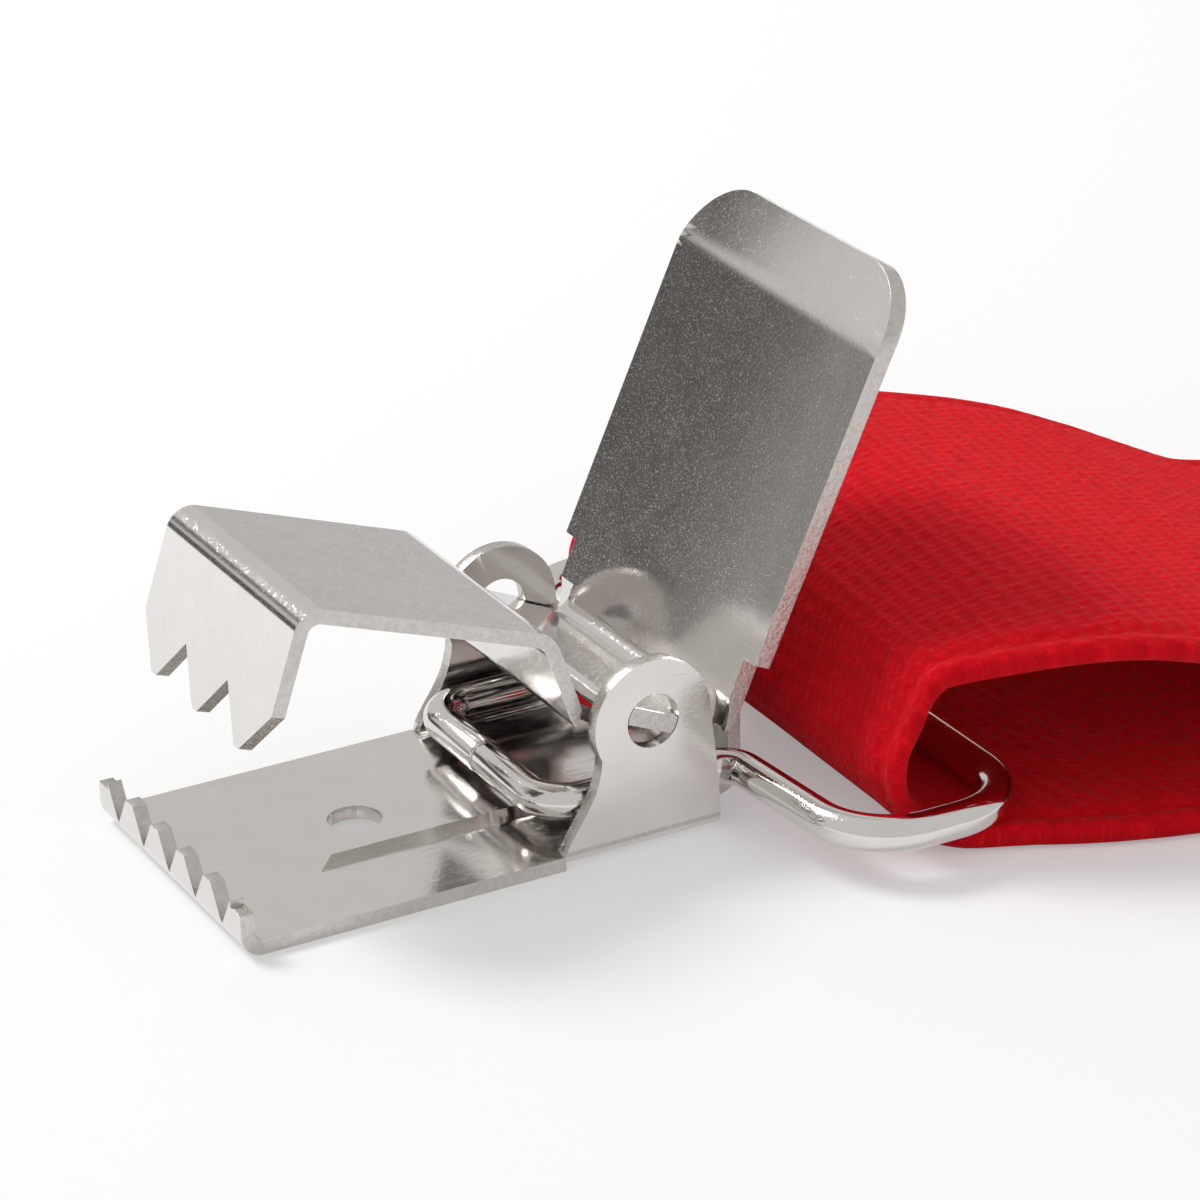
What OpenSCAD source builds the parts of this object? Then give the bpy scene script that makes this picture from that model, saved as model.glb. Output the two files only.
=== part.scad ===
// Brace clip with wire ring and elastic webbing loop.
// Millimetres. +X from the toothed front lip to the strap's free end, +Y to the left of +X, +Z up.
// Origin: on the base plate's underside, straight below the lever's pivot. The clip is modelled open.

/* [Base plate] */
// width of the base plate, over the ears
plate_w = 18; // [16:0.5:24]
// thickness of the base plate's and upper jaw's sheet
sheet_t = 0.8; // [0.7:0.05:1]
// front lip, outer face, to the pivot axis
front_len = 24.3; // [23:0.1:28]
// height of the front lip over its teeth
lip_h = 2.9; // [2.4:0.1:3.6]
// height of the lip at the bottom of a notch
lip_root_h = 1; // [0.9:0.05:1.4]
// pitch of the lower teeth
low_pitch = 3.3; // [2.8:0.1:4]
// notches in the front lip
low_notches = 5; // [3:1:5]
// flat on top of a lower tooth
low_flat = 0.9; // [0.5:0.1:1.2]
// how much lower the two end teeth stand
end_drop = 0.4; // [0:0.1:0.8]
// width of the raised rib at its foot
rib_w = 7.6; // [5:0.2:9]
// height the rib is raised
rib_h = 0.5; // [0.3:0.05:0.6]
// start of the rib behind the front lip
rib_start = 7; // [5:0.2:9]
// end of the rib in front of the pivot axis
rib_gap = 2.8; // [2.4:0.1:5]
// diameter of the round hole in the plate
hole_d = 3; // [2:0.1:4]
// centre of that hole behind the front lip
hole_x = 10.9; // [9.6:0.1:14]

/* [Ears] */
// height of the pivot axis
pivot_z = 7.5; // [7.3:0.1:8]
// radius of an ear's round head
ear_r = 3.5; // [3:0.1:3.8]
// diameter of the pivot hole in an ear
pivot_hole_d = 3.1; // [2.8:0.1:3.4]
// foot of the ear in front of the pivot axis
ear_front = 5.4; // [4.6:0.1:6]
// foot of the ear behind the pivot axis
ear_rear = 4.1; // [3.8:0.1:4.4]
// outside radius of the bend between plate and ear
ear_bend_r = 1.2; // [1.1:0.1:1.6]

/* [Rear tongue] */
// hinge of the upper jaw behind the pivot axis
hinge_dx = 7; // [6.9:0.05:7.4]
// height of the upper jaw's hinge
hinge_z = 4.5; // [4.4:0.05:4.8]
// width of the tongue
tongue_w = 11; // [9:0.5:11.4]
// height of the tongue
tongue_h = 6.6; // [6.2:0.1:7]
// height of the tongue's window
window_h = 1.6; // [1.5:0.05:1.8]

/* [Upper jaw] */
// width of the upper jaw
jaw_w = 15.6; // [13:0.2:15.8]
// depth of the upper teeth
up_depth = 2.7; // [2:0.1:3]
// pitch of the upper teeth
up_pitch = 5.15; // [4:0.05:5.3]
// flat at the tip of an upper tooth
up_flat = 0.55; // [0.3:0.05:0.9]
// width of the jaw's tail in front of the window
tail_w = 9; // [7:0.2:10]
// width of the tail in the window
hook_w = 5.8; // [4:0.2:6.2]
// side clearance of the tail in the window
window_gap = 0.3; // [0.2:0.05:0.5]
// hinge to the upper teeth
jaw_len = 29.25; // [28.9:0.05:29.4]
// hinge to the bend behind the flat top
top_reach = 14.35; // [13:0.05:15]
// hinge to the foot of the slope behind the top
shoulder_reach = 11.3; // [10.5:0.1:11.5]
// how far the jaw's neck dips below its hinge
jaw_dip = 1.17; // [1:0.01:1.3]
// hinge to the hook's end behind the tongue
hook_reach = 1.3; // [1.2:0.05:1.5]
// centreline radius of the jaw's bend behind the teeth
jaw_bend_r = 1.7; // [1.2:0.1:2]
// teeth tips below the hinge, jaw closed
lip_low = 3.4; // [2.6:0.05:3.45]
// plate above the hinge at the lip, jaw closed
jaw_rise = 4.9; // [4.4:0.05:5]
// how far the jaw stands open
jaw_open = 17.2; // [16:0.1:17.6]

/* [Cam lever] */
// thickness of the lever's sheet
lever_t = 1; // [0.9:0.05:1.1]
// width of the thumb tab
tab_w = 20.7; // [20:0.1:26]
// pivot axis to the tab's upper face, lever closed
tab_rise = 4.96; // [4.8:0.02:5.2]
// pivot axis to the tab's tip, lever closed
tab_reach = 26.4; // [25:0.1:30]
// corner radius of the thumb tab
tab_corner_r = 4.4; // [3:0.1:6]
// rise of the curled tip
tip_curl = 0.9; // [0.4:0.1:1.2]
// pivot axis to the step between tab and neck
neck_len = 4.4; // [4.2:0.1:5]
// width of the neck
neck_w = 18.6; // [17.4:0.1:19.6]
// pivot axis to the lever's cam edge
cam_reach = 2.7; // [2.5:0.05:2.8]
// centreline radius of the lever's bend
lever_bend_r = 1.5; // [1.2:0.1:1.8]
// gap between the ear heads and the lever's shoulders
head_gap = 1; // [0.9:0.1:1.4]
// side clearance of the lever's foot between the ears
foot_gap = 0.3; // [0.2:0.05:0.5]
// radial running clearance of the lever's side tabs in the ear holes
run_gap = 0.05; // [0.02:0.01:0.1]
// how far the lever stands open
lever_open = 114; // [110:1:116]

/* [Wire ring] */
// diameter of the ring's wire
wire_d = 2; // [1.8:0.05:2.2]
// front bar, centre, in front of the pivot axis
bar_dx = 5.4; // [5:0.1:6]
// height of the front bar's centre
bar_z = 2.85; // [2.75:0.05:2.9]
// height of the rear bar's centre
rear_z = 2.7; // [2.6:0.05:2.8]
// side clearance of the ring's legs inside the ears
leg_gap = 0.25; // [0.2:0.05:0.6]
// front bar to rear bar, centres
ring_len = 22.4; // [21.6:0.1:24]
// clear width of the ring behind the clip
ring_clear = 36.2; // [36.1:0.1:45]
// gap of the butt joint in the front bar
joint_gap = 0.12; // [0.08:0.02:0.2]

/* [Webbing] */
// width of the webbing
web_w = 35; // [30:0.5:35]
// thickness of the webbing
web_t = 1.4; // [1.2:0.1:1.4]
// ring's rear bar to the front of the fold, centrelines
fold_reach = 5.4; // [5:0.1:6]
// height of the loop's centreline
loop_h = 11.8; // [10:0.2:13]
// length of the strap from the pivot axis to its free end
strap_end = 72; // [66:1:90]
// strap's free end to the end of its lower layer
lower_gap = 9; // [7:0.5:12]
// skew of the strap seen from above
skew = 5; // [0:0.5:6]
// diameter of the sewing thread
thread_d = 0.5; // [0.3:0.05:0.6]
// lower layer's end to the nearest row of stitches
seam_edge = 2; // [1.5:0.5:4]
// distance between the two rows of stitches
seam_gap = 6; // [5:0.5:8]
// webbing's edge to the ends of the rows
seam_margin = 2.5; // [2:0.5:4]
// stitches in one row
stitch_count = 12; // [8:1:16]
// length of one stitch
stitch_len = 2; // [1.2:0.1:2.4]

/* [Hidden] */
$fn = 48;
e = 0.01;
arc_step = 7.5;
lap = 0.1;
steel = [0.78, 0.76, 0.73];
red = [0.8, 0.03, 0.1];
half_w = plate_w / 2;
inside_w = plate_w - 2 * sheet_t;
wall_x = hinge_dx;
trunnion_d = pivot_hole_d - 2 * run_gap;
foot_w = inside_w - 2 * foot_gap;
leg_y = inside_w / 2 - leg_gap - wire_d / 2;
side_y = ring_clear / 2 + wire_d / 2;
ring_tilt = atan((bar_z - rear_z) / ring_len);
fold_x = ring_len - bar_dx - fold_reach;
skew_x = 12;

// unit vector of a 2D vector
function unit(v) = v / norm(v);
// distance from corner b to where its rounding of radius r starts
function reach(a, b, c, r) = r / tan(acos(unit(a - b) * unit(c - b)) / 2);
// half outline and its mirror image across the X axis
function both(h) = concat(h, [for (i = [len(h) - 1:-1:0]) [h[i][0], -h[i][1]]]);
// points of a cubic curve
function curve(a, b, c, d, n = 10) =
    [for (i = [0:n]) let (s = i / n) a * pow(1 - s, 3) + 3 * b * s * pow(1 - s, 2) + 3 * c * s * s * (1 - s) + d * pow(s, 3)];

// arc that rounds corner b between a and c
function corner(a, b, c, r) =
    let (u = unit(a - b), v = unit(c - b), half = acos(u * v) / 2, m = b + unit(u + v) * r / sin(half),
        p = b + u * r / tan(half) - m, q = b + v * r / tan(half) - m,
        s = atan2(p[1], p[0]), f = atan2(q[1], q[0]) - s, w = f > 180 ? f - 360 : (f < -180 ? f + 360 : f),
        n = max(3, ceil(abs(w) / arc_step)))
    [for (i = [0:n]) m + r * [cos(s + w * i / n), sin(s + w * i / n)]];
// polyline p with its inner corners rounded by the radii r
function bent(p, r) = concat([p[0]],
    [for (i = [1:len(p) - 2]) each corner(p[i - 1], p[i], p[i + 1], r[i - 1])], [p[len(p) - 1]]);
// sideways offset that keeps the thickness at point i of a polyline
function side(p, i) =
    let (n = len(p) - 1, a = unit(p[min(i + 1, n)] - p[min(i, n - 1)]), b = unit(p[max(i, 1)] - p[max(i - 1, 0)]),
        t = unit(a + b))
    [-t[1], t[0]] / (t * a);
// outline of bent sheet: thickness t along polyline p, inner corners rounded by r
module strip(p, r, t) let (c = bent(p, r), n = len(c) - 1)
    polygon(concat([for (i = [0:n]) c[i] + side(c, i) * t / 2], [for (i = [n:-1:0]) c[i] - side(c, i) * t / 2]));

// a side outline (x, z) given width w across Y
module across(w) { translate([0, w / 2, 0]) rotate([90, 0, 0]) linear_extrude(w) children(); }
// a cross outline (y, z) run along X from x0 to x1
module along(x0, x1) {
    translate([x0, 0, 0]) rotate([90, 0, 90]) linear_extrude(x1 - x0) children();
}

// ---- base plate ----
tongue_path = [[-front_len + sheet_t / 2, lip_h], [-front_len + sheet_t / 2, sheet_t / 2],
    [wall_x, sheet_t / 2], [wall_x, tongue_h]];
u_path = [[-half_w + sheet_t / 2, 20], [-half_w + sheet_t / 2, sheet_t / 2],
    [half_w - sheet_t / 2, sheet_t / 2], [half_w - sheet_t / 2, 20]];
module ear_outline() {
    circle(ear_r);
    polygon(concat([[-ear_front, -pivot_z - 1]],
        curve([-ear_front, sheet_t - pivot_z], [-ear_front + 0.5, 2.4 - pivot_z], [-ear_r + 0.3, -4.2], [-ear_r + 0.42, -1.4]),
        [[-ear_r + 0.35, 0], [ear_r - 0.02, 0]],
        curve([ear_r + 0.05, -0.6], [ear_r + 0.3, -2.5], [ear_rear - 0.1, -4.5], [ear_rear, sheet_t - pivot_z], 6),
        [[ear_rear, -pivot_z - 1]]));
}
module rib(z0) {
    intersection() {
        along(-front_len + rib_start, -rib_gap)
            polygon([[-rib_w / 2, z0], [rib_w / 2, z0], [rib_w / 2 - 0.7, z0 + rib_h], [-rib_w / 2 + 0.7, z0 + rib_h]]);
        across(rib_w + 1)
            polygon([[-front_len + rib_start, z0], [-rib_gap, z0], [-rib_gap - 1, z0 + rib_h],
                [-front_len + rib_start + 1, z0 + rib_h]]);
    }
}
module base_plate() color(steel) difference() {
    union() {
        // lip, plate and tongue in one strip, narrowed behind the ears
        difference() {
            across(plate_w) strip(tongue_path, [0.9, 1.1], sheet_t);
            for (s = [-1, 1]) translate([ear_rear, s > 0 ? tongue_w / 2 : -half_w - 1, -1])
                cube([20, half_w + 1 - tongue_w / 2, 20]);
            // the plate between the ears is the foot of their bend
            translate([-ear_front, -half_w - 1, -1]) cube([ear_front + ear_rear, plate_w + 2, 3]);
        }
        rib(sheet_t - e);
        // ears, bent up from the plate's sides
        intersection() {
            along(-ear_front - 1, ear_rear + 1) strip(u_path, [1, 1] * (ear_bend_r - sheet_t / 2), sheet_t);
            translate([0, 0, pivot_z]) across(plate_w + 2) ear_outline();
        }
    }
    rib(-e);
    // notches between the lower teeth
    for (i = [0:low_notches - 1]) let (y = (i - (low_notches - 1) / 2) * low_pitch, h = (low_pitch - low_flat) / 2)
        along(-front_len - 1, -front_len + 2.2)
            polygon([[y, lip_root_h], [y + h, lip_h], [y + h, lip_h + 1], [y - h, lip_h + 1], [y - h, lip_h]]);
    // lower end teeth
    for (s = [-1, 1]) translate([-front_len - 1, s * half_w - 1.2, lip_h - end_drop]) cube([3, 2.4, 2]);
    translate([-front_len + hole_x, 0, -1]) cylinder(d = hole_d, h = 4);
    translate([0, 0, pivot_z]) rotate([90, 0, 0]) cylinder(d = pivot_hole_d, h = plate_w + 2, center = true);
    // window for the upper jaw's tail
    translate([wall_x - 2, -hook_w / 2 - window_gap, hinge_z - window_h / 2]) cube([4, hook_w + 2 * window_gap, window_h]);
}

// ---- upper jaw, drawn closed from its hinge and swung open ----
jaw_path = [[-jaw_len, -lip_low], [-jaw_len + 0.25, jaw_rise], [-top_reach, 0.89 * jaw_rise], [-shoulder_reach, 0],
    [-0.63 * shoulder_reach, -jaw_dip], [-0.26 * shoulder_reach, -0.79 * jaw_dip],
    [0.73 * hook_reach, 0.32 * jaw_dip], [hook_reach, -0.74 * jaw_dip]];
jaw_bends = [0.6, 1, 0.8, 1.8, 1.8, 0.3] * jaw_bend_r;
module upper_jaw() color(steel)
    translate([hinge_dx, 0, hinge_z]) rotate([0, jaw_open, 0]) difference() {
        intersection() {
            across(jaw_w) strip(jaw_path, jaw_bends, sheet_t);
            translate([0, 0, -2 * jaw_rise]) linear_extrude(4 * jaw_rise)
                polygon(both([[-2 * jaw_len, jaw_w], [-shoulder_reach, jaw_w], [-shoulder_reach, jaw_w / 2],
                    [1 - shoulder_reach, tail_w / 2], [-0.32 * shoulder_reach, tail_w / 2],
                    [-0.18 * shoulder_reach, hook_w / 2], [2 * hook_reach, hook_w / 2]]));
        }
        // notches between the upper teeth
        for (s = [-1, 1]) along(-jaw_len - 2, -jaw_len + 2)
            polygon([[s * up_pitch / 2, up_depth - lip_low], [s * (up_pitch - up_flat / 2), -lip_low],
                [s * (up_pitch - up_flat / 2), -lip_low - 1], [s * up_flat / 2, -lip_low - 1], [s * up_flat / 2, -lip_low]]);
        // slanted outer flanks
        for (s = [-1, 1]) along(-jaw_len - 2, -jaw_len + 2)
            polygon([[s * (up_pitch + up_flat / 2), -lip_low], [s * jaw_w / 2, up_depth - lip_low],
                [s * (jaw_w / 2 + 1), up_depth - lip_low], [s * (jaw_w / 2 + 1), -lip_low - 1],
                [s * (up_pitch + up_flat / 2), -lip_low - 1]]);
    }

// ---- cam lever, drawn closed from its pivot and turned open ----
tab_z = tab_rise - lever_t / 2;
lever_path = [[0, lever_t / 2 - cam_reach], [0, tab_z], [-tab_reach + 3.9, tab_z], [-tab_reach, tab_z + tip_curl]];
module lever_outline() {
    translate([-tab_reach + tab_corner_r, -tab_w / 2]) square([tab_reach - tab_corner_r - neck_len, tab_w]);
    translate([-tab_reach, -tab_w / 2 + tab_corner_r]) square([tab_corner_r + 1, tab_w - 2 * tab_corner_r]);
    for (s = [-1, 1]) translate([-tab_reach + tab_corner_r, s * (tab_w / 2 - tab_corner_r)]) circle(tab_corner_r);
    translate([-neck_len - 1, -neck_w / 2]) square([neck_len + 3, neck_w]);
}
module cam_lever() color(steel)
    translate([0, 0, pivot_z]) rotate([0, lever_open, 0]) {
        difference() {
            intersection() {
                across(tab_w + 1) strip(lever_path, [lever_bend_r, 6], lever_t);
                translate([0, 0, -10]) linear_extrude(30) lever_outline();
            }
            // the foot is narrowed where it stands between the ear heads
            for (s = [-1, 1]) translate([0, s * (foot_w / 2 + 5), 0]) rotate([90, 0, 0])
                cylinder(r = ear_r + head_gap, h = 10, center = true, $fn = 64);
        }
        // rounded cam edge
        translate([0, 0, lever_t / 2 - cam_reach]) rotate([90, 0, 0])
            cylinder(d = lever_t, h = foot_w, center = true);
        // side tabs that turn in the ear holes
        for (s = [-1, 1]) intersection() {
            translate([0, s * (half_w + foot_w / 2) / 2, 0]) rotate([90, 0, 0])
                cylinder(d = trunnion_d, h = half_w - foot_w / 2 + 2 * e, center = true);
            translate([-lever_t / 2, s > 0 ? foot_w / 2 - e : -half_w, -2]) cube([lever_t, half_w - foot_w / 2 + e, 4]);
        }
    }

// ---- wire ring: round wire bent in one plane, its ends butted in the front bar ----
ring_points = [[0, 0], [0, leg_y], [11.3, leg_y], [12.2, side_y], [ring_len, side_y], [ring_len, 0]];
ring_r = [2.2, 1.9, 3.6, 2.8];
module wire(p, r, d) {
    n = len(p) - 1;
    cut = [for (i = [0:n]) (i == 0 || i == n) ? 0 : reach(p[i - 1], p[i], p[i + 1], r[i - 1])];
    for (i = [0:n - 1]) let (u = unit(p[i + 1] - p[i]), a = p[i] + u * cut[i], b = p[i + 1] - u * cut[i + 1])
        translate([a[0], a[1], 0]) rotate([0, 90, atan2(u[1], u[0])])
            translate([0, 0, -lap]) cylinder(d = d - 2 * e, h = norm(b - a) + 2 * lap, $fn = 24);
    for (i = [1:n - 1]) let (u = unit(p[i - 1] - p[i]), v = unit(p[i + 1] - p[i]),
        m = p[i] + unit(u + v) * norm([r[i - 1], cut[i]]), a = p[i] + u * cut[i] - m, b = p[i] + v * cut[i] - m,
        s = atan2(a[1], a[0]), f = atan2(b[1], b[0]) - s, w = f > 180 ? f - 360 : (f < -180 ? f + 360 : f))
        translate([m[0], m[1], 0]) rotate([0, 0, w > 0 ? s : s + w]) rotate_extrude(angle = abs(w), $fn = 72)
            translate([r[i - 1], 0]) circle(d = d, $fn = 24);
}
module wire_ring() color(steel)
    translate([-bar_dx, 0, bar_z]) rotate([0, ring_tilt, 0]) difference() {
        union() {
            wire(ring_points, ring_r, wire_d);
            mirror([0, 1, 0]) wire(ring_points, ring_r, wire_d);
        }
        cube([wire_d + 1, joint_gap, wire_d + 1], center = true);
    }

// ---- webbing: one strip folded round the rear bar, its lower end sewn under the strap ----
low_z = web_t / 2;
top_z = low_z + web_t + 0.1;
run = strap_end - fold_x;
seam_x = [strap_end - lower_gap - seam_edge - seam_gap, strap_end - lower_gap - seam_edge];
web_path = [[strap_end - lower_gap, low_z], [fold_x + 0.25 * loop_h, low_z], [fold_x - 0.19 * loop_h, 0.36 * loop_h],
    [fold_x + 0.17 * loop_h, 0.86 * loop_h], [fold_x + 0.18 * run, loop_h], [fold_x + 0.41 * run, 0.7 * loop_h],
    [fold_x + 0.62 * run, 0.27 * loop_h], [seam_x[0] - seam_edge / 2, top_z], [strap_end, top_z]];
web_r = [0.15, 0.22, 0.25, 1.36, 2.5, 1, 0.5] * loop_h;
module skewed() translate([skew_x, 0, 0]) rotate([0, 0, -skew]) translate([-skew_x, 0, 0]) children();
module webbing_loop() color(red) skewed() across(web_w)
    strip(web_path, web_r, web_t);

// rows of stitches over both layers
module stitching() color(red * 0.8) skewed()
    for (x = seam_x, i = [0:stitch_count - 1]) let (pitch = (web_w - 2 * seam_margin) / stitch_count)
        translate([x, (i - (stitch_count - 1) / 2) * pitch, top_z + web_t / 2]) rotate([90, 0, 0])
            cylinder(d = thread_d, h = stitch_len, center = true, $fn = 16);

base_plate();
upper_jaw();
cam_lever();
wire_ring();
webbing_loop();
stitching();
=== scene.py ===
# %% [markdown]
# # A brace clip on red elastic webbing
# The object is the end of a pair of trouser braces. A plate with two ears carries a toothed
# upper jaw and a cam lever, a bent wire ring hangs between the ears, and a strap of elastic
# webbing is folded round the ring and sewn to itself. This lesson dresses the solids of that
# object: each step says what the real piece is, how it could be made, and why one way was taken.

# %% Load the solids and their sizes
import math

import bmesh
import bpy
import numpy as np
from mathutils import Matrix, Vector


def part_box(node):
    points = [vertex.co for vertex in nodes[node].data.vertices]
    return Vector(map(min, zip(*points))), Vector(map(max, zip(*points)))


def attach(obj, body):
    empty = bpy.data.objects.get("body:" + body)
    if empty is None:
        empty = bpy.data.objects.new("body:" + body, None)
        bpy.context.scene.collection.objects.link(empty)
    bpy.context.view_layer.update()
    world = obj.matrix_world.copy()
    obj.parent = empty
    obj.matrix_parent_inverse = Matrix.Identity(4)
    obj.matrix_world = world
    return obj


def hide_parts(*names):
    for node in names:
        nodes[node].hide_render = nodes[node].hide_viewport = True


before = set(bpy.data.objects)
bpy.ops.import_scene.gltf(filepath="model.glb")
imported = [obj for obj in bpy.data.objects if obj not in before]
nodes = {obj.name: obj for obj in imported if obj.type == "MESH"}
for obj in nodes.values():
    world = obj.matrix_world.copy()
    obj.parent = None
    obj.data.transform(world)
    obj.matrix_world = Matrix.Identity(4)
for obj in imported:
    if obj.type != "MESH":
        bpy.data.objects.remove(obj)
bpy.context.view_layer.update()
MM = 0.001
for name in sorted(nodes):
    low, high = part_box(name)
    print(name, [round((h - l) / MM, 1) for l, h in zip(low, high)], "mm")

# %% [markdown]
# ## Camera
# A long lens close to a small object gives the slight convergence of a close view. The
# camera is placed by an aim point, two angles, a roll and a distance, because these say more
# to a reader than a matrix does.

# %% Camera
AIM = Vector((10.95, 16.66, 1.91)) * MM
AZIMUTH, ELEVATION, ROLL = (math.radians(a) for a in (-28.64, 24.48, -1.11))
DISTANCE = 268.25 * MM
FOCAL_IN_FRAMES = 3.79942

back = Vector((math.sin(AZIMUTH) * math.cos(ELEVATION), -math.cos(AZIMUTH) * math.cos(ELEVATION),
               math.sin(ELEVATION)))
right = Vector((math.cos(AZIMUTH), math.sin(AZIMUTH), 0))
up = right.cross(-back)
right, up = (math.cos(ROLL) * right + math.sin(ROLL) * up, math.cos(ROLL) * up - math.sin(ROLL) * right)

lens = bpy.data.cameras.new("camera")
lens.sensor_width = 36
lens.lens = FOCAL_IN_FRAMES * lens.sensor_width
lens.clip_start, lens.clip_end = 0.01, 20
camera = bpy.data.objects.new("camera", lens)
camera.matrix_world = Matrix((right, up, back)).transposed().to_4x4()
camera.location = AIM + back * DISTANCE
bpy.context.scene.collection.objects.link(camera)
bpy.context.scene.camera = camera
bpy.context.scene.view_settings.view_transform = "Standard"
print("camera at", [round(c, 3) for c in camera.location])


# %% [markdown]
# ## Helpers for node trees
# Materials here are node trees built in code. A small helper that adds a node, sets its values
# and wires its inputs keeps each material short enough to read.

# %% Node helpers
def add(tree, kind, inputs=None, **settings):
    """Adds a node; inputs maps a socket's name or number to a value or to another socket."""
    node = tree.nodes.new(kind)
    for key, value in settings.items():
        setattr(node, key, value)
    for key, value in (inputs or {}).items():
        socket = node.inputs[key]
        if isinstance(value, bpy.types.NodeSocket):
            tree.links.new(value, socket)
        else:
            socket.default_value = value
    return node


def maths(tree, operation, a, b=0.0, clamp=False):
    return add(tree, "ShaderNodeMath", {0: a, 1: b}, operation=operation, use_clamp=clamp).outputs[0]


def new_group(name, sockets_in, sockets_out):
    """A shader node group with named inputs (name, type, default) and outputs (name, type)."""
    tree = bpy.data.node_groups.new(name, "ShaderNodeTree")
    for label, kind, default in sockets_in:
        tree.interface.new_socket(label, in_out="INPUT", socket_type=kind).default_value = default
    for label, kind in sockets_out:
        tree.interface.new_socket(label, in_out="OUTPUT", socket_type=kind)
    return tree, tree.nodes.new("NodeGroupInput"), tree.nodes.new("NodeGroupOutput")


def new_material(name):
    material = bpy.data.materials.new(name)
    material.use_nodes = True
    tree = material.node_tree
    return material, tree, tree.nodes["Principled BSDF"]


# %% [markdown]
# ## Nickel plating
# Nickel over stamped steel mirrors its surroundings, but never perfectly: the sheet has a fine
# pebble from rolling, tiny random scratches, and cut edges torn by the die. One node group makes
# those marks, and each metal material mixes them in its own amounts. Object coordinates keep the
# marks at their real size on every piece.

# %% Nickel marks group
marks, marks_in, marks_out = new_group(
    "nickel_marks",
    [("Pebble", "NodeSocketFloat", 0.5), ("Scratches", "NodeSocketFloat", 0.5),
     ("Torn edge", "NodeSocketFloat", 0.0)],
    [("Color", "NodeSocketColor"), ("Roughness", "NodeSocketFloat"), ("Height", "NodeSocketFloat")])
place = add(marks, "ShaderNodeTexCoord").outputs["Object"]
pebble = add(marks, "ShaderNodeTexNoise", {"Vector": place, "Scale": 5200.0, "Detail": 3.0, "Roughness": 0.6})
mottle = add(marks, "ShaderNodeTexNoise", {"Vector": place, "Scale": 420.0, "Detail": 4.0, "Roughness": 0.55})
turned = add(marks, "ShaderNodeMapping", {"Vector": place, "Rotation": (0.3, 0.5, 0.9),
                                          "Scale": (900.0, 16000.0, 9000.0)})
scratch = add(marks, "ShaderNodeTexNoise", {"Vector": turned.outputs[0], "Scale": 1.0, "Detail": 2.0})
scratch_line = maths(marks, "MULTIPLY", maths(marks, "SUBTRACT", scratch.outputs[0], 0.62, clamp=True),
                     marks_in.outputs["Scratches"])
tear = add(marks, "ShaderNodeMapping", {"Vector": place, "Scale": (2600.0, 2600.0, 2600.0)})
torn = add(marks, "ShaderNodeTexNoise", {"Vector": tear.outputs[0], "Scale": 1.0, "Detail": 5.0,
                                         "Roughness": 0.7})
torn_mask = maths(marks, "MULTIPLY", torn.outputs[0], marks_in.outputs["Torn edge"])
height = maths(marks, "ADD", maths(marks, "MULTIPLY", pebble.outputs[0], marks_in.outputs["Pebble"]),
               maths(marks, "ADD", maths(marks, "MULTIPLY", torn_mask, 6.0),
                     maths(marks, "MULTIPLY", scratch_line, -6.0)))
marks.links.new(height, marks_out.inputs["Height"])
rough = maths(marks, "ADD", maths(marks, "MULTIPLY", mottle.outputs[0], 0.06),
              maths(marks, "ADD", maths(marks, "MULTIPLY", scratch_line, 1.2),
                    maths(marks, "MULTIPLY", torn_mask, 0.25)))
marks.links.new(rough, marks_out.inputs["Roughness"])
tone = add(marks, "ShaderNodeMix", {0: mottle.outputs[0], 6: (0.70, 0.672, 0.645, 1),
                                    7: (0.78, 0.765, 0.75, 1)},
           data_type="RGBA")
tone_torn = add(marks, "ShaderNodeMix", {0: torn_mask, 6: tone.outputs[2], 7: (0.46, 0.43, 0.40, 1)},
                data_type="RGBA")
marks.links.new(tone_torn.outputs[2], marks_out.inputs["Color"])
print("group", marks.name, "with", len(marks.nodes), "nodes")


# %% Metal materials
def nickel(name, pebble, scratches, gloss, bump):
    """Nickel plate: gloss is the base roughness, to which the marks group adds its own."""
    material, tree, shader = new_material(name)
    cut = add(tree, "ShaderNodeAttribute", attribute_name="cut_edge")
    group = add(tree, "ShaderNodeGroup", node_tree=marks)
    group.inputs["Pebble"].default_value = pebble
    group.inputs["Scratches"].default_value = scratches
    tree.links.new(cut.outputs["Fac"], group.inputs["Torn edge"])
    tree.links.new(group.outputs["Color"], shader.inputs["Base Color"])
    shader.inputs["Metallic"].default_value = 1.0
    tree.links.new(maths(tree, "ADD", group.outputs["Roughness"], gloss), shader.inputs["Roughness"])
    relief = add(tree, "ShaderNodeBump", {"Height": group.outputs["Height"], "Distance": bump,
                                          "Strength": 1.0})
    tree.links.new(relief.outputs[0], shader.inputs["Normal"])
    return material


sheet_nickel = nickel("nickel_sheet", 0.5, 0.6, 0.10, 0.006 * MM)
wire_nickel = nickel("nickel_wire", 0.3, 0.8, 0.06, 0.004 * MM)


# %% [markdown]
# ## Stamped pieces
# The plate, the jaw and the lever are stamped from sheet and bent. Their solids already have the
# right shape, but a die leaves every edge slightly rounded, and it is that thin roundness that
# catches light. So each piece is a merged copy of its solid with a narrow bevel, and faces that
# the die cut are marked, because they are rougher than the rolled surface. The lever's tab is
# also domed a little across its width, so that it doesn't mirror the room in one flat tone.

# %% Merged copies with die-rounded edges
def finished(piece):
    """Bakes a piece's modifiers into its own mesh."""
    bpy.context.view_layer.update()
    evaluated = piece.evaluated_get(bpy.context.evaluated_depsgraph_get())
    mesh = bpy.data.meshes.new_from_object(evaluated)
    piece.modifiers.clear()
    piece.data = mesh
    mesh.name = piece.name
    return piece


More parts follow.
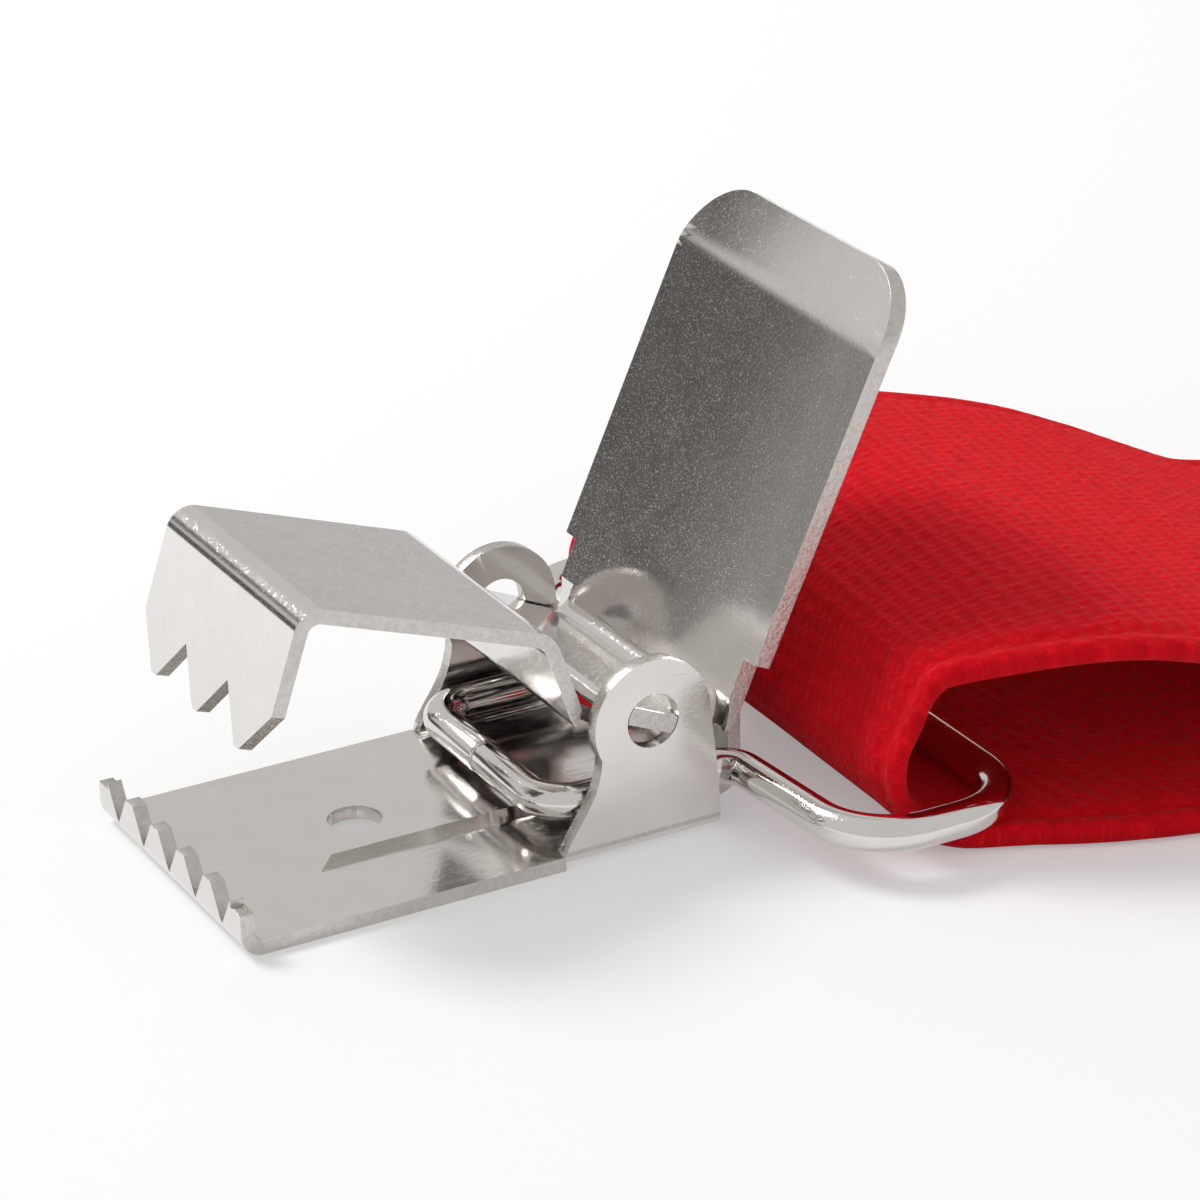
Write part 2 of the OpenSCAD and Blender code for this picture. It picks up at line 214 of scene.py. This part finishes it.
def new_piece(name, mesh, material):
    piece = bpy.data.objects.new(name, mesh)
    mesh.materials.clear()
    mesh.materials.append(material)
    bpy.context.scene.collection.objects.link(piece)
    return piece


def dished(work, depth, pivot, turn, start, half_width):
    """Domes a lever's tab across its width: cuts it in strips and bends them back at both sides."""
    for y in np.linspace(-half_width, half_width, 15)[1:-1]:
        bmesh.ops.bisect_plane(work, geom=work.verts[:] + work.edges[:] + work.faces[:], dist=1e-7,
                               plane_co=(0, y, 0), plane_no=(0, 1, 0))
    out = Vector((-math.cos(turn), 0, math.sin(turn)))
    away = Vector((math.sin(turn), 0, math.cos(turn)))
    for vert in work.verts:
        along = (vert.co - pivot).dot(out)
        share = min(max((along - start) / start, 0), 1)
        vert.co += away * depth * share * (vert.co.y / half_width) ** 2


def stamped(node, name, is_cut, roundness, bend=None):
    """A copy of a solid's mesh, merged, with cut faces marked and its sharp edges rounded."""
    mesh = nodes[node].data.copy()
    if "custom_normal" in mesh.attributes:
        mesh.attributes.remove(mesh.attributes["custom_normal"])
    work = bmesh.new()
    work.from_mesh(mesh)
    bmesh.ops.remove_doubles(work, verts=work.verts, dist=0.002 * MM)
    bmesh.ops.dissolve_limit(work, angle_limit=math.radians(0.4), verts=work.verts, edges=work.edges)
    if bend:
        bend(work)
    cut = work.faces.layers.float.new("cut_edge")
    for face in work.faces:
        face[cut] = 1.0 if is_cut(face.calc_center_median() / MM, face.normal) else 0.0
        face.smooth = True
    work.to_mesh(mesh)
    work.free()
    piece = new_piece(name, mesh, sheet_nickel)
    edges = piece.modifiers.new("die roundness", "BEVEL")
    edges.width, edges.segments = roundness, 2
    edges.limit_method, edges.angle_limit = "ANGLE", math.radians(32)
    edges.use_clamp_overlap = True
    shading = piece.modifiers.new("flat faces stay flat", "WEIGHTED_NORMAL")
    shading.keep_sharp = False
    finished(piece)
    print(name, len(mesh.polygons), "->", len(piece.data.polygons), "faces")
    return piece


def plate_cut(c, n):
    """The die cut the lip's teeth, the rims of the ears and the tongue, and the plate's long edges."""
    if c.x < -23.3:
        return abs(n.x) < 0.7 and c.z > 0.8
    if c.z > 1 and abs(c.y) > 8.1:
        return abs(n.y) < 0.7
    if c.z > 1 and c.x > 6:
        return abs(n.x) < 0.7
    return abs(n.y) > 0.9


plate = stamped("base_plate", "clip_plate", plate_cut, 0.07 * MM)
jaw = stamped("upper_jaw", "toothed_jaw", lambda c, n: abs(n.y) > 0.9 or (c.x < -17 and n.z < -0.5),
              0.07 * MM)
LEVER_OPEN, TAB_HALF, TAB_START, DISH = math.radians(114), 10.35 * MM, 6 * MM, 0.3 * MM
lever = stamped("cam_lever", "cam_lever_tab", lambda c, n: abs(n.y) > 0.3, 0.09 * MM,
                lambda work: dished(work, DISH, Vector((0, 0, 7.5)) * MM, LEVER_OPEN, TAB_START, TAB_HALF))


# %% [markdown]
# ## Wire ring
# The ring is one round wire, bent in a plane and butted where its ends meet in the front bar.
# A curve with a bevel would do, but sweeping a circle along the bent line by hand gives even
# rings, exact radii and softly rounded wire ends.

# %% Bent line helper
def rounded_line(points, radii, step):
    """Points of a line whose inner corners are rounded, at most step degrees apart on an arc."""
    points = [np.array(p, float) for p in points]
    line = [points[0]]
    for a, b, c, r in zip(points, points[1:], points[2:], radii):
        u, v = (a - b) / np.linalg.norm(a - b), (c - b) / np.linalg.norm(c - b)
        half = math.acos(float(u @ v)) / 2
        centre = b + (u + v) / np.linalg.norm(u + v) * r / math.sin(half)
        start, end = b + u * r / math.tan(half) - centre, b + v * r / math.tan(half) - centre
        first = math.atan2(start[1], start[0])
        turn = (math.atan2(end[1], end[0]) - first + math.pi) % (2 * math.pi) - math.pi
        count = max(2, math.ceil(math.degrees(abs(turn)) / step))
        line += [centre + r * np.array((math.cos(first + turn * i / count),
                                        math.sin(first + turn * i / count)))
                 for i in range(count + 1)]
    return line + [points[-1]]


def swept(section_rings):
    """A closed mesh from rings of points, each joined to the next, with a face at both ends."""
    mesh = bpy.data.meshes.new("swept")
    count = len(section_rings[0])
    points = [p for ring in section_rings for p in ring]
    faces = [(i * count + j, i * count + (j + 1) % count, (i + 1) * count + (j + 1) % count,
              (i + 1) * count + j)
             for i in range(len(section_rings) - 1) for j in range(count)]
    last = (len(section_rings) - 1) * count
    faces += [tuple(reversed(range(count))), tuple(last + j for j in range(count))]
    mesh.from_pydata([tuple(p) for p in points], [], faces)
    work = bmesh.new()
    work.from_mesh(mesh)
    bmesh.ops.recalc_face_normals(work, faces=work.faces)
    work.to_mesh(mesh)
    work.free()
    return mesh


# %% Wire ring
WIRE_R, BAR_X, BAR_Z, REAR_Z, RING_LEN, LEG_Y, SIDE_Y = 1.0, -5.4, 2.85, 2.7, 22.4, 6.95, 19.1
HALF_RING = [(0, 0.06), (0, LEG_Y), (11.3, LEG_Y), (12.2, SIDE_Y), (RING_LEN, SIDE_Y), (RING_LEN, 0)]
half_line = rounded_line(HALF_RING, [2.2, 1.9, 4.2, 4.2], 6)
centre_line = half_line[:-1] + [p * (1, -1) for p in reversed(half_line)]
TILT = math.atan((BAR_Z - REAR_Z) / RING_LEN)


def ring_place(x, y, z):
    return Vector((BAR_X + x * math.cos(TILT) + z * math.sin(TILT), y,
                   BAR_Z - x * math.sin(TILT) + z * math.cos(TILT))) * MM


SIDES, END_ROUND, END_BREAK = 28, 0.15, 0.04
stations = []
for i, p in enumerate(centre_line):
    before, after = centre_line[max(i - 1, 0)], centre_line[min(i + 1, len(centre_line) - 1)]
    along = (after - before) / np.linalg.norm(after - before)
    if i == 0:
        stations += [(p, along, WIRE_R - END_ROUND), (p + along * END_BREAK, along, WIRE_R - END_BREAK),
                     (p + along * END_ROUND, along, WIRE_R)]
    elif i == len(centre_line) - 1:
        stations += [(p - along * END_ROUND, along, WIRE_R),
                     (p - along * END_BREAK, along, WIRE_R - END_BREAK),
                     (p, along, WIRE_R - END_ROUND)]
    else:
        stations.append((p, along, WIRE_R))
rings = []
for p, along, r in stations:
    across = np.array((-along[1], along[0]))
    rings.append([ring_place(*(p + across * r * math.cos(t)), r * math.sin(t))
                  for t in np.linspace(0, 2 * math.pi, SIDES, endpoint=False)])
ring = new_piece("ring_wire", swept(rings), wire_nickel)
for face in ring.data.polygons:
    face.use_smooth = len(face.vertices) == 4
print("ring:", len(ring.data.polygons), "faces,", round(2 * SIDE_Y - 2 * WIRE_R, 1), "mm clear")

# %% [markdown]
# ## Elastic webbing
# Braces hang on woven elastic: rubber cores wrapped in yarn give it transverse ribs, and its two
# edges are rolled into round selvedges. A flat strip is bent along the strap's side view with the
# ribs and selvedges in its mesh, since cloth simulation would erase such narrow relief. The yarn
# itself is finer than the mesh and is left to the material, laid out by the strip's own UV map.

# %% Webbing strip
WEB_W, WEB_T, STRAP_END, LOWER_GAP, LOOP_H = 35.0, 1.4, 72.0, 9.0, 11.8
FOLD_X = RING_LEN + BAR_X - 5.4
RUN = STRAP_END - FOLD_X
LOW_Z, TOP_Z = WEB_T / 2, 1.5 * WEB_T + 0.1
SEAMS = (STRAP_END - LOWER_GAP - 8, STRAP_END - LOWER_GAP - 2)
WEB_PATH = [(STRAP_END - LOWER_GAP, LOW_Z), (FOLD_X + 0.25 * LOOP_H, LOW_Z),
            (FOLD_X - 0.19 * LOOP_H, 0.36 * LOOP_H),
            (FOLD_X + 0.17 * LOOP_H, 0.86 * LOOP_H), (FOLD_X + 0.18 * RUN, LOOP_H),
            (FOLD_X + 0.41 * RUN, 0.7 * LOOP_H), (FOLD_X + 0.62 * RUN, 0.27 * LOOP_H), (SEAMS[0] - 1, TOP_Z),
            (STRAP_END, TOP_Z)]
WEB_RADII = [k * LOOP_H for k in (0.15, 0.22, 0.25, 1.36, 2.5, 1, 0.5)]
# The ring gathers the strap. Behind it the strap spreads a little and drifts to the near side.
PLAN_X = (0, 14.5, 16, 19, 24, 30, 38, 46, 60, 80)
NEAR_EDGE = (-17.4, -17.4, -18.2, -20.2, -22.4, -23.4, -23.8, -23.8, -23.2, -22.6)
FAR_EDGE = (17.4, 17.4, 17.6, 17.9, 18.2, 17.8, 15.6, 13.6, 12.6, 12.2)
# The lower layer spreads further, and the fold leans forward at its far end.
LOWER_SPREAD, FOLD_LEAN = 1.2, 0.8


def smoothed(x, values):
    """An edge's place at x, averaged over a short stretch so that its corners are soft."""
    return sum(float(np.interp(x + d, PLAN_X, values)) for d in (-3, -1.5, 0, 1.5, 3)) / 5


def laid(x, y, z):
    """A point of the straight strap, moved to where the strap lies seen from above."""
    near, far = smoothed(x, NEAR_EDGE), smoothed(x, FAR_EDGE)
    if z < WEB_T + 0.2:
        near -= LOWER_SPREAD * min(max((x - 13.5) / 3, 0), 1) * min(max((60 - x) / 20, 0), 1)
    drift = (smoothed(x + 2, NEAR_EDGE) + smoothed(x + 2, FAR_EDGE) - near - far) / 4
    share = y / WEB_W
    forward = FOLD_LEAN * min(max((share - 0.25) / 0.2, 0), 1) * min(max((24 - x) / 10, 0), 1)
    return Vector((x - forward - 0.6 * drift * share * (far - near),
                   (near + far) / 2 + share * (far - near), z)) * MM


def resampled(line, step):
    """The same line with points every step along it, and their distances from its start."""
    line = np.array(line)
    run = np.concatenate(([0], np.cumsum(np.linalg.norm(np.diff(line, axis=0), axis=1))))
    count = round(run[-1] / step)
    at = np.linspace(0, run[-1], count + 1)
    return np.column_stack([np.interp(at, run, line[:, k]) for k in (0, 1)]), at


web_line, web_at = resampled(rounded_line(WEB_PATH, WEB_RADII, 3), 0.25)
WEB_LENGTH = float(web_at[-1])
RIB_PITCH, RIB_DEPTH, SELVEDGE_R = 1.05, 0.2, 0.68
GROOVE_DEPTH, GROOVE_W = 0.3, 0.45
half_width = WEB_W / 2
flat_half = half_width - 2 * SELVEDGE_R
profile = [(y, WEB_T / 2 - GROOVE_DEPTH * math.exp(-((flat_half - abs(y)) / GROOVE_W) ** 2))
           for y in np.concatenate((-flat_half + np.arange(0, 1.2, 0.3),
                                    np.linspace(-flat_half + 1.2, flat_half - 1.2, 48),
                                    flat_half - np.arange(0.9, -0.1, -0.3)))]
ROLL_STEPS = 9
roll = [(half_width - SELVEDGE_R + SELVEDGE_R * math.cos(t), SELVEDGE_R * math.sin(t))
        for t in np.linspace(2.2, -2.2, ROLL_STEPS + 2)]
section = profile + roll + [(y, -z) for y, z in reversed(profile)] + [(-y, -z) for y, z in roll]
tangent = np.gradient(web_line, axis=0)
tangent /= np.linalg.norm(tangent, axis=1)[:, None]
normal = np.column_stack((-tangent[:, 1], tangent[:, 0]))
generator = np.random.default_rng(7)
rib_shift = np.interp(np.arange(len(section)), np.linspace(0, len(section), 9),
                      generator.uniform(-0.12, 0.12, 9))
rings = []
for k, (p, n, s) in enumerate(zip(web_line, normal, web_at)):
    ring_points = []
    for j, (y, h) in enumerate(section):
        inside = abs(y) < flat_half + 0.01
        lift = RIB_DEPTH * (abs(math.cos(math.pi * (s + rib_shift[j]) / RIB_PITCH)) - 1) if inside else 0
        away = p + n * (h + math.copysign(lift, h) if inside else h)
        ring_points.append(laid(away[0], y, away[1]))
    rings.append(ring_points)
web_mesh = swept(rings)
uv = web_mesh.uv_layers.new(name="strip")
count = len(section)
for loop in web_mesh.loops:
    k, j = divmod(loop.vertex_index, count)
    uv.data[loop.index].uv = (0.5 + section[j][0] / WEB_W, web_at[k] / WEB_LENGTH)

# %% [markdown]
# ## Red yarn
# Each rib shows a row of small yarn loops, set half a step over from row to row. The selvedge is
# wound with yarn that runs obliquely. A group turns the strip's UV map into those two patterns,
# with painted shade in the hollows between the loops and a painted highlight along the fibres.

# %% Yarn group and webbing material
yarn, yarn_in, yarn_out = new_group(
    "red_yarn",
    [("Loops across", "NodeSocketFloat", 56.0), ("Rows along", "NodeSocketFloat", 110.0)],
    [("Color", "NodeSocketColor"), ("Height", "NodeSocketFloat")])
strip_uv = add(yarn, "ShaderNodeUVMap", uv_map="strip").outputs[0]
split = add(yarn, "ShaderNodeSeparateXYZ", {0: strip_uv})
rows = maths(yarn, "MULTIPLY", split.outputs[1], yarn_in.outputs["Rows along"])
wobble = add(yarn, "ShaderNodeTexNoise", {"Vector": strip_uv, "Scale": 60.0, "Detail": 2.0})
rows = maths(yarn, "ADD", rows, maths(yarn, "MULTIPLY", wobble.outputs[0], 0.5))
offset = maths(yarn, "MULTIPLY", maths(yarn, "FLOOR", rows), 0.5)
columns = maths(yarn, "ADD", maths(yarn, "MULTIPLY", split.outputs[0], yarn_in.outputs["Loops across"]),
                offset)
cell = add(yarn, "ShaderNodeCombineXYZ", {0: columns, 1: rows, 2: 0.0})
loops = add(yarn, "ShaderNodeTexVoronoi", {"Vector": cell.outputs[0], "Scale": 1.0, "Randomness": 0.35},
            feature="SMOOTH_F1")
fibre_map = add(yarn, "ShaderNodeMapping", {"Vector": cell.outputs[0], "Rotation": (0, 0, 0.7),
                                            "Scale": (1.5, 9.0, 1.0)})
fibre = add(yarn, "ShaderNodeTexNoise", {"Vector": fibre_map.outputs[0], "Scale": 1.0, "Detail": 4.0,
                                         "Roughness": 0.65})
bump_height = maths(yarn, "SUBTRACT", 1.0, maths(yarn, "MULTIPLY", loops.outputs[0], 1.3))
yarn.links.new(maths(yarn, "ADD", bump_height, maths(yarn, "MULTIPLY", fibre.outputs[0], 0.45)),
               yarn_out.inputs["Height"])
# Painted shade: the red darkens towards the hollows between the loops. The fibre mix below is a painted
# highlight.
painted_hollow_shade = maths(yarn, "MULTIPLY", loops.outputs[0], 1.4, clamp=True)
painted_loop_shade = add(yarn, "ShaderNodeMix", {0: painted_hollow_shade, 6: (0.98, 0.004, 0.016, 1), 7: (0.60, 0.0, 0.006, 1)},
            data_type="RGBA")
painted_fibre_glint = maths(yarn, "MULTIPLY", maths(yarn, "SUBTRACT", fibre.outputs[0], 0.55, clamp=True), 2.2, clamp=True)
lit = add(yarn, "ShaderNodeMix", {0: painted_fibre_glint, 6: painted_loop_shade.outputs[2], 7: (1.0, 0.05, 0.07, 1)}, data_type="RGBA")
yarn.links.new(lit.outputs[2], yarn_out.inputs["Color"])

webbing_red, tree, shader = new_material("red_webbing")
group = add(tree, "ShaderNodeGroup", node_tree=yarn)
group.inputs["Loops across"].default_value = WEB_W / 0.62
group.inputs["Rows along"].default_value = WEB_LENGTH / RIB_PITCH
tree.links.new(group.outputs["Color"], shader.inputs["Base Color"])
shader.inputs["Roughness"].default_value = 0.85
shader.inputs["Sheen Weight"].default_value = 0.06
shader.inputs["Sheen Roughness"].default_value = 0.4
shader.inputs["Specular IOR Level"].default_value = 0.12
relief = add(tree, "ShaderNodeBump", {"Height": group.outputs["Height"], "Distance": 0.2 * MM,
                                      "Strength": 1.0})
tree.links.new(relief.outputs[0], shader.inputs["Normal"])
webbing = new_piece("webbing_strap", web_mesh, webbing_red)
for face in webbing.data.polygons:
    face.use_smooth = True

# %% [markdown]
# ## Sewing
# Two rows of stitches hold the fold. Each stitch is a short bar of thread that dives into the
# webbing at both ends. The same stitch stands on many points of a line, so Geometry Nodes place it.

# %% Stitches by Geometry Nodes
thread_red, tree, shader = new_material("red_thread")
shader.inputs["Base Color"].default_value = (0.62, 0.01, 0.03, 1)
shader.inputs["Roughness"].default_value = 0.6
place = add(tree, "ShaderNodeTexCoord").outputs["Object"]
twist = add(tree, "ShaderNodeTexWave", {"Vector": place, "Scale": 1400.0, "Distortion": 1.5, "Detail": 2.0})
relief = add(tree, "ShaderNodeBump", {"Height": twist.outputs["Fac"], "Distance": 0.03 * MM})
tree.links.new(relief.outputs[0], shader.inputs["Normal"])

STITCHES, STITCH_LEN, THREAD_D, SEAM_MARGIN = 12, 2.0, 0.5, 2.5
sew = bpy.data.node_groups.new("stitch_rows", "GeometryNodeTree")
sew.interface.new_socket("Geometry", in_out="INPUT", socket_type="NodeSocketGeometry")
for label, default in (("Stitch length", STITCH_LEN * MM), ("Thread radius", THREAD_D / 2 * MM)):
    sew.interface.new_socket(label, in_out="INPUT", socket_type="NodeSocketFloat").default_value = default
sew.interface.new_socket("Geometry", in_out="OUTPUT", socket_type="NodeSocketGeometry")
sew_in, sew_out = sew.nodes.new("NodeGroupInput"), sew.nodes.new("NodeGroupOutput")
mesh_rows = sew_in.outputs["Geometry"]
line = add(sew, "GeometryNodeMeshToCurve", {"Mesh": mesh_rows})
spaced = add(sew, "GeometryNodeResampleCurve", {"Curve": line.outputs[0], "Count": STITCHES})
half_length = maths(sew, "MULTIPLY", sew_in.outputs["Stitch length"], 0.5)
dive = maths(sew, "MULTIPLY", sew_in.outputs["Thread radius"], -1.6)
start = add(sew, "ShaderNodeCombineXYZ", {0: maths(sew, "MULTIPLY", half_length, -1.0), 2: dive})
middle = add(sew, "ShaderNodeCombineXYZ", {2: maths(sew, "MULTIPLY", sew_in.outputs["Thread radius"], 2.2)})
end = add(sew, "ShaderNodeCombineXYZ", {0: half_length, 2: dive})
bar = add(sew, "GeometryNodeCurveQuadraticBezier",
          {"Resolution": 10, "Start": start.outputs[0], "Middle": middle.outputs[0], "End": end.outputs[0]})
round_thread = add(sew, "GeometryNodeCurvePrimitiveCircle",
                   {"Resolution": 10, "Radius": sew_in.outputs["Thread radius"]})
thread = add(sew, "GeometryNodeCurveToMesh", {"Curve": bar.outputs[0],
                                              "Profile Curve": round_thread.outputs[0],
                                              "Fill Caps": True})
facing = add(sew, "FunctionNodeAlignRotationToVector",
             {"Vector": add(sew, "GeometryNodeInputTangent").outputs[0]}, axis="X")
rows_of = add(sew, "GeometryNodeInstanceOnPoints",
              {"Points": spaced.outputs[0], "Instance": thread.outputs[0],
                                                    "Rotation": facing.outputs[0]})
real = add(sew, "GeometryNodeRealizeInstances", {"Geometry": rows_of.outputs[0]})
coloured = add(sew, "GeometryNodeSetMaterial", {"Geometry": real.outputs[0], "Material": thread_red})
smooth = add(sew, "GeometryNodeSetShadeSmooth", {"Geometry": coloured.outputs[0]})
sew.links.new(smooth.outputs[0], sew_out.inputs["Geometry"])

seam_half = WEB_W / 2 - SEAM_MARGIN - STITCH_LEN / 2
seam_mesh = bpy.data.meshes.new("seam_lines")
seam_mesh.from_pydata([laid(x, y, TOP_Z + WEB_T / 2) for x in SEAMS for y in (-seam_half, seam_half)],
                      [(0, 1), (2, 3)], [])
stitching = bpy.data.objects.new("seam_stitches", seam_mesh)
bpy.context.scene.collection.objects.link(stitching)
sewing = stitching.modifiers.new("sewing", "NODES")
sewing.node_group = sew
for item in sew.interface.items_tree:
    if item.in_out == "INPUT" and item.name == "Stitch length":
        sewing[item.identifier] = STITCH_LEN * MM
    if item.in_out == "INPUT" and item.name == "Thread radius":
        sewing[item.identifier] = THREAD_D / 2 * MM
finished(stitching)
print("stitches:", len(stitching.data.polygons), "faces")

# %% [markdown]
# ## What moves with what
# Each dressed piece stands for its solid and rides on the same body, so the lever, the coupled
# jaw, the ring and the strap turn as the solids do.

# %% Bodies and cloth
# Each dressed piece, the solid it stands for, the body it rides on and its finish.
DRESSED = (
    (plate, "base_plate", "base", "plated_steel"),
    (jaw, "upper_jaw", "jaw", "plated_steel"),
    (lever, "cam_lever", "lever", "plated_steel"),
    (ring, "wire_ring", "ring", "plated_steel"),
    (webbing, "webbing_loop", "strap", "webbing"),
    (stitching, "stitching", "strap", "thread"),
)
for piece, node, body, finish_slot in DRESSED:
    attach(piece, body)
    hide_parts(node)

# %% [markdown]
# ## Floor and light
# Bright metal mostly mirrors its room. A white floor, one large soft lamp behind and above
# the object, and a room that is dark on one side give the plating both its pale faces and its
# grey ones. The floor is plain white to the camera and in reflections, and keeps the shadow.

# %% Floor
floor_mesh = bpy.data.meshes.new("floor")
FLOOR_HALF, FLOOR_Z = 3, -0.03 * MM
floor_corners = [(x * FLOOR_HALF, y * FLOOR_HALF, FLOOR_Z) for x, y in ((-1, -1), (1, -1), (1, 1), (-1, 1))]
floor_mesh.from_pydata(floor_corners, [], [(0, 1, 2, 3)])
white, tree, shader = new_material("white_floor")
tree.nodes.remove(shader)
surface = add(tree, "ShaderNodeBsdfDiffuse", {"Color": (0.72, 0.72, 0.72, 1)})
path = add(tree, "ShaderNodeLightPath")
seen = maths(tree, "MAXIMUM", path.outputs["Is Camera Ray"],
             maths(tree, "MAXIMUM", path.outputs["Is Glossy Ray"], path.outputs["Is Transmission Ray"]))
glow = add(tree, "ShaderNodeEmission", {"Color": (1, 1, 1, 1),
                                        "Strength": maths(tree, "MULTIPLY", seen, 0.30)})
both = add(tree, "ShaderNodeAddShader", {0: surface.outputs[0], 1: glow.outputs[0]})
tree.links.new(both.outputs[0], tree.nodes["Material Output"].inputs["Surface"])
floor = new_piece("floor", floor_mesh, white)

# %% World
world = bpy.data.worlds.new("studio")
bpy.context.scene.world = world
world.use_nodes = True
tree = world.node_tree
tree.nodes.clear()
heading = add(tree, "ShaderNodeTexCoord").outputs["Generated"]


def soft_patch(tree, azimuth, elevation, half_width, half_height, softness):
    """1 inside a patch of sky round a direction, 0 outside; angles in degrees, azimuth from +Y to +X."""
    parts = add(tree, "ShaderNodeSeparateXYZ", {0: heading})
    az = maths(tree, "MULTIPLY", maths(tree, "ARCTAN2", parts.outputs[0], parts.outputs[1]), 180 / math.pi)
    el = maths(tree, "MULTIPLY", maths(tree, "ARCSINE", parts.outputs[2]), 180 / math.pi)
    sides = []
    for angle, centre, half in ((az, azimuth, half_width), (el, elevation, half_height)):
        off = maths(tree, "ABSOLUTE", maths(tree, "SUBTRACT", angle, centre))
        limits = {"Value": off, "From Min": half + softness, "From Max": half - softness,
                  "To Min": 0.0, "To Max": 1.0}
        edge = add(tree, "ShaderNodeMapRange", limits, interpolation_type="SMOOTHSTEP")
        sides.append(edge.outputs[0])
    return maths(tree, "MULTIPLY", *sides)


def layer(tree, colour, mask, over):
    return add(tree, "ShaderNodeMix", {0: mask, 6: colour, 7: over}, data_type="RGBA").outputs[2]


PALE, GREY = (0.68, 0.665, 0.65, 1), (0.55, 0.54, 0.53, 1)
DIM, DARK = (0.36, 0.35, 0.34, 1), (0.10, 0.095, 0.09, 1)
# Each patch: azimuth, elevation, half width, half height and softness, in degrees.
PATCHES = (
    (GREY, (38, 4, 22, 9, 6)),  # greys the jaw's flat top
    (DIM, (-50, 4, 17, 8, 3)),  # the lever's mid grey
    (DARK, (-27, 4.5, 12, 7, 2)),  # the lever's darker far side
    (DARK, (-23.5, 20, 4.5, 6, 3)),  # the jaw's bend
)
room = PALE
for colour, patch in PATCHES:
    room = layer(tree, room, soft_patch(tree, *patch), colour)
path = add(tree, "ShaderNodeLightPath")
shown = add(tree, "ShaderNodeBackground", {"Color": room, "Strength": 1.0})
lighting = add(tree, "ShaderNodeBackground", {"Color": (1, 1, 1, 1), "Strength": 0.55})
backdrop = add(tree, "ShaderNodeBackground", {"Color": (1, 1, 1, 1), "Strength": 1.0})
mirrored = add(tree, "ShaderNodeMixShader", {0: path.outputs["Is Glossy Ray"], 1: lighting.outputs[0],
                                             2: shown.outputs[0]})
seen = add(tree, "ShaderNodeMixShader", {0: maths(tree, "MAXIMUM", path.outputs["Is Camera Ray"],
                                                  path.outputs["Is Transmission Ray"]),
                                         1: mirrored.outputs[0], 2: backdrop.outputs[0]})
output = add(tree, "ShaderNodeOutputWorld")
tree.links.new(seen.outputs[0], output.inputs[0])


# %% Lamps
def softbox(name, position, target, size, power):
    data = bpy.data.lights.new(name, "AREA")
    data.shape, data.size, data.energy = "SQUARE", size, power
    lamp = bpy.data.objects.new(name, data)
    lamp.location = position
    lamp.rotation_euler = (Vector(target) - Vector(position)).to_track_quat("-Z", "Y").to_euler()
    bpy.context.scene.collection.objects.link(lamp)
    return lamp


KEY_PLACE, KEY_TARGET, KEY_SIZE, KEY_POWER = (-0.30, 0.45, 0.62), (0.01, 0, 0.01), 0.30, 3.6
softbox("key", KEY_PLACE, KEY_TARGET, KEY_SIZE, KEY_POWER)
